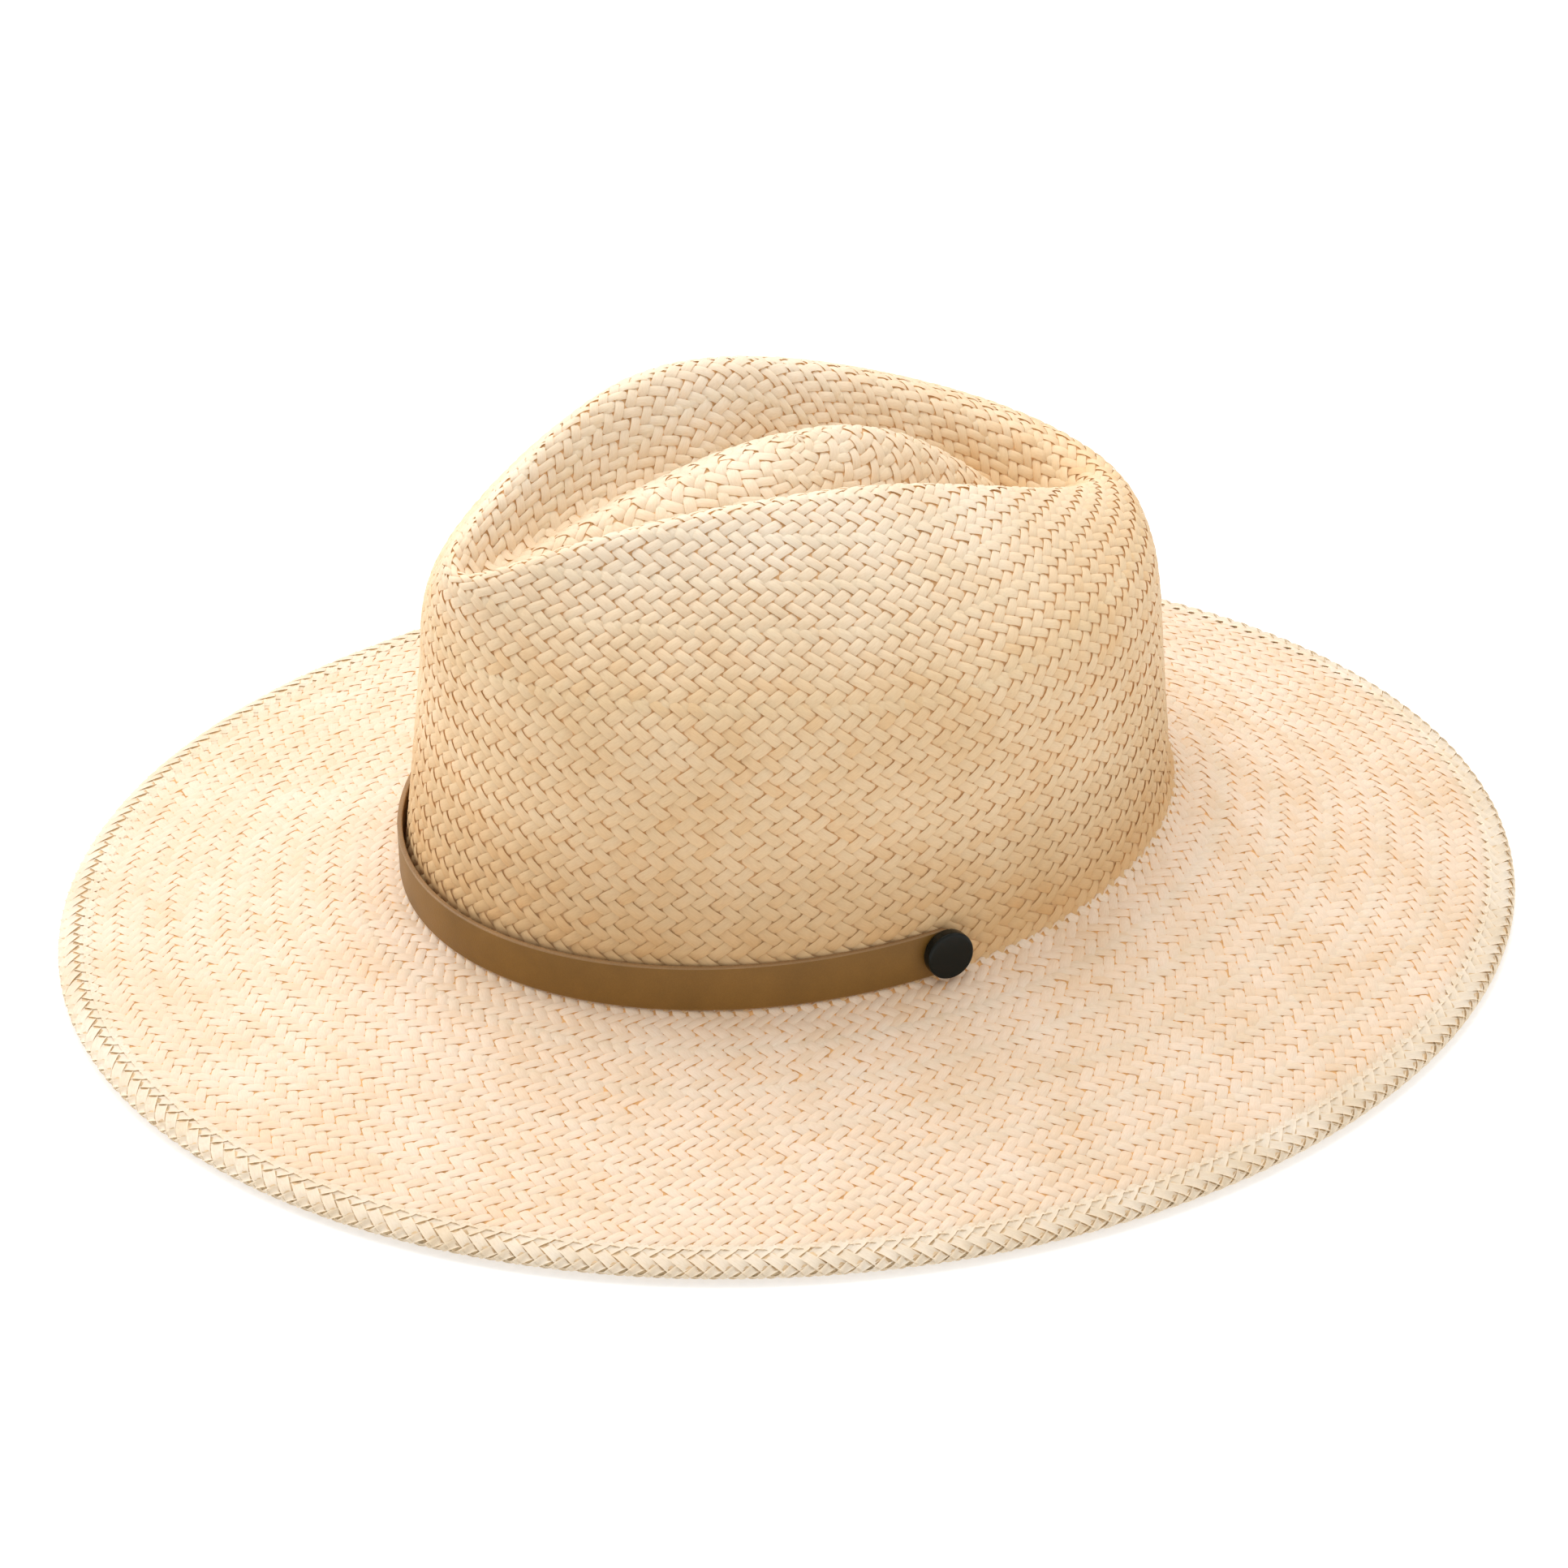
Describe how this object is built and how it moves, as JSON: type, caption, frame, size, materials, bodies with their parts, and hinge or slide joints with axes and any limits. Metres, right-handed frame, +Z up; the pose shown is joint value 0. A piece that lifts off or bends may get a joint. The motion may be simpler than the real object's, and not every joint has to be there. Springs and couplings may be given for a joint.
{
  "type": "panama hat",
  "caption": "Wide-brimmed woven straw hat with a teardrop crown, a turned and stitched brim hem, a narrow leather band held by turning cap studs, and an inner sweatband.",
  "frame": {"origin": "middle of the brim's footprint, on the surface that the hat rests on", "axes": "+Z up, +Y towards the back of the head, +X towards the wearer's left"},
  "size_m": [0.3464, 0.3854, 0.1477],
  "materials": {
    "straw": "woven pale straw, satin",
    "straw_brim": "woven pale straw, satin",
    "straw_hem": "woven pale straw, satin",
    "wire": "plain",
    "thread": "matt",
    "leather": "smooth matt tan",
    "stud_black": "glossy black enamel",
    "stud_metal": "plain",
    "sweatband_cotton": "matt ribbed cotton"
  },
  "bodies": {
    "hat": {"crown": "straw", "brim": "straw_brim", "brim_hem": "straw_hem", "brim_wire": "wire", "hem_stitching": "thread", "hat_band": "leather", "sweatband": "sweatband_cotton", "sweatband_tab": "sweatband_cotton", "sweatband_stitching": "thread"},
    "stud_left": {"stud_cap_left": "stud_black", "stud_post_left": "stud_metal", "stud_washer_left": "stud_metal"},
    "stud_right": {"stud_cap_right": "stud_black", "stud_post_right": "stud_metal", "stud_washer_right": "stud_metal"}
  },
  "joints": [
    {"name": "stud_left_turn", "type": "hinge", "parent": "hat", "child": "stud_left", "pos_m": [0.08564, -0.00191, 0.03631], "axis": [0.9988, -0.0031, 0.0498], "continuous": true},
    {"name": "stud_right_turn", "type": "hinge", "parent": "hat", "child": "stud_right", "pos_m": [-0.08564, -0.00191, 0.03631], "axis": [-0.9988, -0.0031, 0.0498], "continuous": true}
  ]
}
